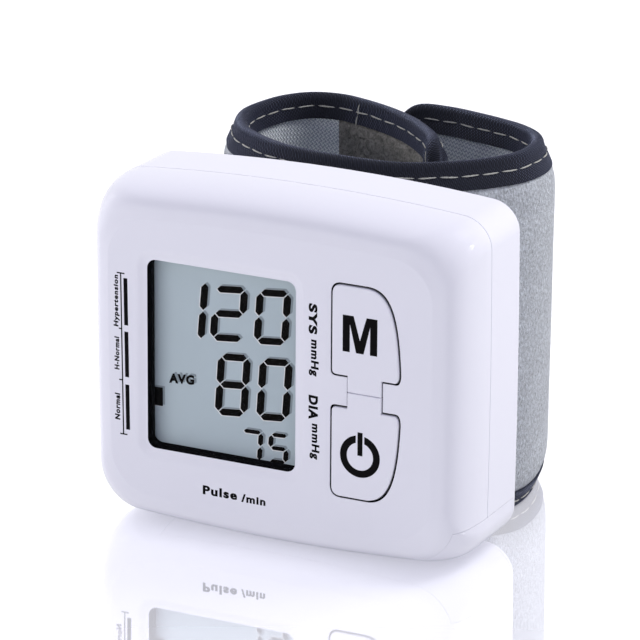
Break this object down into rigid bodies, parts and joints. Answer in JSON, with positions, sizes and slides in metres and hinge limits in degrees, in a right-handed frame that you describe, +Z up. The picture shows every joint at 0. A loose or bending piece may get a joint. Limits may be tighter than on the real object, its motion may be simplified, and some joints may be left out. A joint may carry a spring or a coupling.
{
  "type": "wrist blood pressure monitor",
  "caption": "Wrist blood pressure monitor: rounded white housing with a window over a liquid crystal display, two keys and a sliding battery cover, on a wrap-round cuff.",
  "frame": {"origin": "middle of the whole outline on the surface it stands on", "axes": "+Z up along the housing's height, +X to the right seen from the display, +Y back from the display towards the cuff"},
  "size_m": [0.076, 0.072, 0.0671],
  "materials": {
    "white_shell": "satin white with a faint lavender tint",
    "clear_pane": "clear gloss",
    "black_foam": "matte black",
    "lcd_glass": "grey-green reflective display",
    "cream_plastic": "matte natural",
    "board_green": "green solder mask",
    "chip_black": "matte black",
    "steel": "bright steel",
    "brass": "plated brass",
    "silicone": "translucent white silicone",
    "cell_green": "plain coloured sleeve",
    "lead_red": "red insulation",
    "grey_fleece": "brushed loop pile, light grey",
    "blue_lining": "woven nylon, blue-grey",
    "dark_tape": "ribbed binding tape, dark navy",
    "dark_pile": "hook pile, dark olive grey",
    "bladder_grey": "matte grey film",
    "stiffener": "matte white sheet"
  },
  "bodies": {
    "monitor": {"front_casing": "white_shell", "rear_casing": "white_shell", "casing_screw_1": "steel", "casing_screw_2": "steel", "casing_screw_3": "steel", "casing_screw_4": "steel", "display_window": "clear_pane", "display_gasket": "black_foam", "lcd_panel": "lcd_glass", "lcd_holder": "cream_plastic", "lcd_connector": "black_foam", "circuit_board": "board_green", "controller_chip": "chip_black", "board_screw_1": "steel", "board_screw_2": "steel", "key_retainer": "cream_plastic", "memory_switch": "chip_black", "power_switch": "chip_black", "battery_1": "cell_green", "battery_2": "cell_green", "contact_plate": "brass", "contact_bridge": "brass", "contact_spring_1": "steel", "contact_spring_2": "steel", "pump_motor": "steel", "pump_head": "cream_plastic", "exhaust_valve": "brass", "air_manifold": "cream_plastic", "pump_tube": "silicone", "valve_tube": "silicone", "cuff_tube": "silicone", "pressure_sensor": "chip_black", "sensor_tube": "silicone", "motor_lead": "lead_red", "cuff_fleece": "grey_fleece", "cuff_stiffener": "stiffener", "cuff_bladder": "bladder_grey", "cuff_lining": "blue_lining", "cuff_binding_top": "dark_tape", "cuff_binding_bottom": "dark_tape", "cuff_saddle": "cream_plastic", "cuff_nozzle": "cream_plastic"},
    "memory_key": {"memory_key": "white_shell"},
    "power_key": {"power_key": "white_shell"},
    "memory_switch_plunger": {"memory_switch_plunger": "cream_plastic"},
    "power_switch_plunger": {"power_switch_plunger": "cream_plastic"},
    "battery_cover": {"battery_cover": "white_shell"},
    "hook_end": {"hook_end_fleece": "grey_fleece", "hook_end_padding": "bladder_grey", "hook_end_lining": "blue_lining", "hook_end_binding_top": "dark_tape", "hook_end_binding_bottom": "dark_tape", "hook_patch": "dark_pile"},
    "wrap_end": {"wrap_end_fleece": "grey_fleece", "wrap_end_padding": "bladder_grey", "wrap_end_lining": "blue_lining", "wrap_end_binding_top": "dark_tape", "wrap_end_binding_bottom": "dark_tape"},
    "pump_shaft": {"pump_shaft": "steel"},
    "valve_pin": {"valve_pin": "steel"}
  },
  "joints": [
    {"name": "memory_key_press", "type": "hinge", "parent": "monitor", "child": "memory_key", "pos_m": [0.0193, -0.03312, 0.03335], "axis": [-1, 0, 0], "range_deg": [0, 2.5], "stiffness_Nm_per_rad": 0.2},
    {"name": "power_key_press", "type": "hinge", "parent": "monitor", "child": "power_key", "pos_m": [0.0193, -0.03312, 0.03335], "axis": [1, 0, 0], "range_deg": [0, 2.5], "stiffness_Nm_per_rad": 0.2},
    {"name": "memory_switch_travel", "type": "slide", "parent": "monitor", "child": "memory_switch_plunger", "axis": [0, 1, 0], "range_m": [0, 0.00055]},
    {"name": "power_switch_travel", "type": "slide", "parent": "monitor", "child": "power_switch_plunger", "axis": [0, 1, 0], "range_m": [0, 0.00055]},
    {"name": "battery_cover_slide", "type": "slide", "parent": "monitor", "child": "battery_cover", "axis": [1, 0, 0], "range_m": [0, 0.066]},
    {"name": "hook_end_unwrap", "type": "hinge", "parent": "monitor", "child": "hook_end", "pos_m": [-0.03115, 0.00716, 0.0335], "axis": [0, 0, 1], "range_deg": [0, 70]},
    {"name": "wrap_end_unwrap", "type": "hinge", "parent": "monitor", "child": "wrap_end", "pos_m": [0.0265, 0.02785, 0.0335], "axis": [0, 0, -1], "range_deg": [0, 100]},
    {"name": "pump_shaft_spin", "type": "hinge", "parent": "monitor", "child": "pump_shaft", "pos_m": [-0.00785, -0.01802, 0.0556], "axis": [1, 0, 0], "continuous": true},
    {"name": "valve_pin_travel", "type": "slide", "parent": "monitor", "child": "valve_pin", "axis": [-1, 0, 0], "range_m": [0, 0.0006], "stiffness_N_per_m": 100}
  ],
  "couplings": [
    {"joint": "memory_switch_travel", "follows": "memory_key_press", "m_per_rad": 0.0115},
    {"joint": "power_switch_travel", "follows": "power_key_press", "m_per_rad": 0.0115},
    {"joint": "hook_end_unwrap", "follows": "wrap_end_unwrap", "ratio": 0.7}
  ]
}
